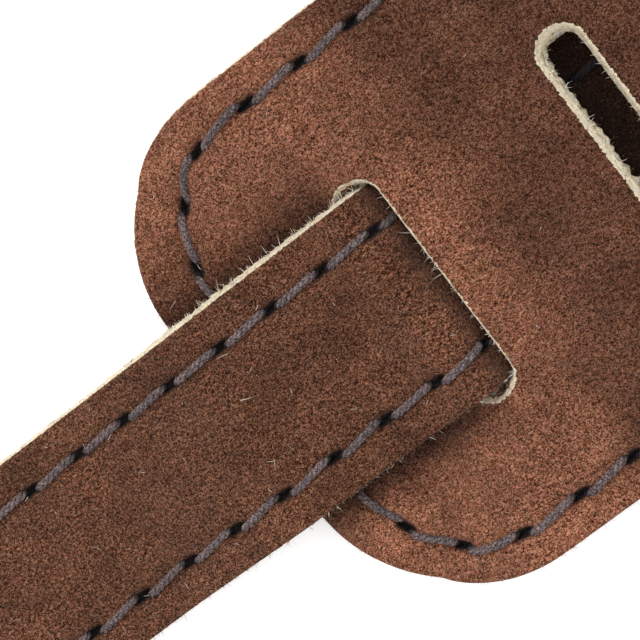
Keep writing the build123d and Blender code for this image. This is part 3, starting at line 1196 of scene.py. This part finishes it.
def suede(name, dark, middle, light, warm, cool):
    """Napped suede with a fine mottled grain, pale and fibrous where it is cut, with painted shade in its needle
    holes and painted shadow and shade where the mesh marks it.
    """
    g = Graph(name, 0.95, 0.08, 0.45, (1.0, 0.82, 0.72))
    grain = g.noise(3.4, 4.0, 0.78, 0.8)
    fine = g.noise(6.5, 2.0, 0.6)
    mixed = g.math("ADD", g.math("MULTIPLY", grain, 0.6), g.math("MULTIPLY", fine, 0.4))
    colour = g.ramp(mixed, [(0.42, dark), (0.50, middle), (0.585, light)])
    hue = g.ramp(g.noise(3.1, 2.0, 0.6), [(0.40, warm), (0.60, cool)])
    colour = g.mix(0.5, colour, hue, "MULTIPLY")
    patches = g.grey(g.noise(0.16, 3.0, 0.6), 0.72, 1.30, 0.3, 0.7)
    clouds = g.grey(g.noise(0.035, 2.0, 0.5), 0.86, 1.14, 0.3, 0.7)
    colour = g.scaled(colour, g.math("MULTIPLY", patches, clouds))
    # Painted shadow and shade: darker beside and under the tail, and past slot 1.
    colour = g.scaled(colour, g.grey(g.attribute("worn"), 1.0, 0.12))
    torn = g.noise(2.6, 3.0, 0.6)
    raw = g.math("ADD", g.attribute("raw"), g.grey(torn, -0.45, 0.45, 0.3, 0.7))
    raw = g.grey(raw, 0.0, 1.0, 0.42, 0.66)
    strands = g.noise(3.4, 4.0, 0.65, 0.0, (1, 1, 2))
    cream = g.ramp(strands, [(0.34, CREAM[0]), (0.5, CREAM[1]), (0.66, CREAM[2])])
    colour = g.mix(raw, colour, cream)
    # Painted shade: near black in the needle holes.
    colour = g.mix(g.grey(g.attribute("pit"), 0.0, 1.0, 0.18, 0.6), colour, HOLE_SHADE_BLACK)
    return g.finish(colour, mixed, 1.0, 0.5, g.grey(grain, 0.86, 1.0, 0.3, 0.7))


def fibre_material(name, dark, light):
    """Loose fibres, each with its own shade, some of them pale."""
    g = Graph(name, 0.9, 0.3, 0.4)
    shade = g.math("ADD", g.attribute("shade"), g.grey(g.noise(2.0, 2.0), -0.25, 0.25, 0.3, 0.7))
    colour = g.ramp(shade, [(0.0, dark), (1.0, light)])
    cream = g.ramp(g.attribute("shade"), [(0.0, CREAM[1]), (1.0, CREAM[2])])
    colour = g.mix(g.attribute("raw"), colour, cream)
    return g.finish(colour, g.noise(14.0, 1.0), 0.2, 0.03)


def thread_material():
    """Mauve-grey twisted thread, with painted shade where it goes into the leather and where the tail's leather
    has painted shade.
    """
    g = Graph("thread", 0.8, 0.1, 0.35)
    strands = g.noise(5.5, 3.0, 0.6, 0.4)
    dark, middle, light = (0.035, 0.027, 0.028), (0.110, 0.086, 0.087), (0.27, 0.218, 0.215)
    colour = g.ramp(strands, [(0.38, dark), (0.5, middle), (0.62, light)])
    worn = g.ramp(g.noise(0.3, 2.0), [(0.35, (0.80, 0.80, 0.82)), (0.65, (1.12, 1.05, 1.06))])
    colour = g.mix(1.0, colour, worn, "MULTIPLY")
    # Painted shade where the thread goes into a hole, and where the tail's leather has painted shade.
    colour = g.mix(g.attribute("pit"), colour, (0.012, 0.010, 0.013))
    return g.finish(colour, g.noise(11.0, 2.0), 0.5, 0.06, g.grey(strands, 0.5, 0.75, 0.3, 0.7))


def floor_material():
    """Matt white sweep, bright enough to stay plain."""
    g = Graph("sweep", 0.9, 0.0)
    shade = g.ramp(g.noise(0.002, 2.0), [(0.3, (0.90, 0.90, 0.90)), (0.7, (0.93, 0.93, 0.93))])
    g.feed(g.shader.inputs["Base Color"], shade)
    g.shader.inputs["Emission Color"].default_value = (1, 1, 1, 1)
    g.shader.inputs["Emission Strength"].default_value = 0.38
    return g.material


# The whole


def attach(piece, part, layer=None):
    """Bakes a piece's placement into its mesh, and, for a leather layer or a thread, hides the CAD nodes that it
    stands for.
    """
    strap = part.strap
    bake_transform(piece)
    if layer:
        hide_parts(*(f"{strap.name}_{layer}_{ending}" for ending in part.nodes))


def build(part, materials):
    """Makes all the pieces of a part: two leather layers, two threads and the fuzz."""
    strap = part.strap
    own = materials[strap.name]
    attach(leather(part, "face", f"{strap.name}_suede", own), part, "face")
    attach(leather(part, "backing", "backing_suede", materials["backing"]), part, "backing")
    for thread_name in ("needle_thread", "bobbin_thread"):
        attach(sewing(part, thread_name, materials["thread"]), part, thread_name)
    fuzz = edge_fibres(part, *EDGE_FUZZ[strap.name])
    edge_x = part.loops[0].points[:, 0]
    fuzz.append(nap(part, max(part.low, edge_x.min()), min(part.high, edge_x.max()), *FACE_FUZZ))
    attach(fibre_piece(part, "fuzz", fuzz, materials), part)


def build_close_nap(part, low, high, materials):
    """Adds the dense nap near slots 1 and 2."""
    fibres = [nap(part, low, high, *CLOSE_NAP), stray_hairs(part, low, high, STRAY_HAIRS)]
    attach(fibre_piece(part, "nap", fibres, materials), part)


def make_materials():
    hues = (1.12, 0.84, 0.80), (0.84, 1.02, 0.84)
    main_shades = (0.030, 0.007, 0.0030), (0.232, 0.085, 0.045), (0.58, 0.280, 0.188)
    tail_shades = (0.010, 0.0025, 0.0010), (0.105, 0.0365, 0.0185), (0.34, 0.165, 0.107)
    backing_shades = (0.10, 0.045, 0.026), (0.20, 0.098, 0.058), (0.36, 0.19, 0.12)
    return {
        "main": suede("main_suede", *main_shades, *hues),
        "tail": suede("tail_suede", *tail_shades, *hues),
        "backing": suede("backing_suede", *backing_shades, *hues),
        "main_fibres": fibre_material("main_fibres", (0.07, 0.025, 0.015), (0.48, 0.24, 0.165)),
        "tail_fibres": fibre_material("tail_fibres", (0.04, 0.016, 0.01), (0.33, 0.175, 0.11)),
        "thread": thread_material(),
    }


def add_camera():
    """A long lens above slots 1 and 2, looking a little towards the tail's free end."""
    data = bpy.data.cameras.new("camera")
    data.lens = 100
    data.sensor_width = 36
    camera = added("camera", data)
    camera.location = Vector((SLOT_1_X + 12.33, 11.99, 196.73)) * MM
    camera.rotation_euler = [math.radians(turn) for turn in (-5.96, 4.07, -37.52)]
    data.clip_start = 0.01
    bpy.context.scene.camera = camera


def add_light():
    """A white sky all round and a broad lamp from above the +Y side."""
    world = bpy.data.worlds.new("world")
    bpy.context.scene.world = world
    world.use_nodes = True
    sky = world.node_tree.nodes["Background"].inputs
    sky["Strength"].default_value = 1.0
    sky["Color"].default_value = (1, 1, 1, 1)
    data = bpy.data.lights.new("lamp", "SUN")
    data.energy = 1.45
    data.angle = math.radians(40)
    data.color = (1.0, 0.96, 0.90)
    lamp = added("lamp", data)
    lamp.rotation_euler = Vector((-0.05, 0.78, 0.62)).to_track_quat("Z", "Y").to_euler()
    bpy.context.scene.view_settings.view_transform = "Standard"


def add_floor():
    """A wide white sweep just under the straps."""
    mesh = bpy.data.meshes.new("sweep")
    half, z = 40.0, -0.3 * MM
    corners = [(x * half, y * half, z) for x, y in ((-1, -1), (1, -1), (1, 1), (-1, 1))]
    mesh.from_pydata(corners, [], [(0, 1, 2, 3)])
    mesh.materials.append(floor_material())
    added("sweep", mesh)


add_camera()
add_light()
add_floor()
materials = make_materials()
long_part, tongue_part, woven_part, free_part = main_long(), main_tongue(), tail_woven(), tail_free()
for part in (long_part, tongue_part, woven_part, free_part):
    build(part, materials)
build_close_nap(long_part, REAR_X - 1, CLOSE_HIGH, materials)
build_close_nap(woven_part, CLOSE_LOW, SLOT_1_X + 2, materials)
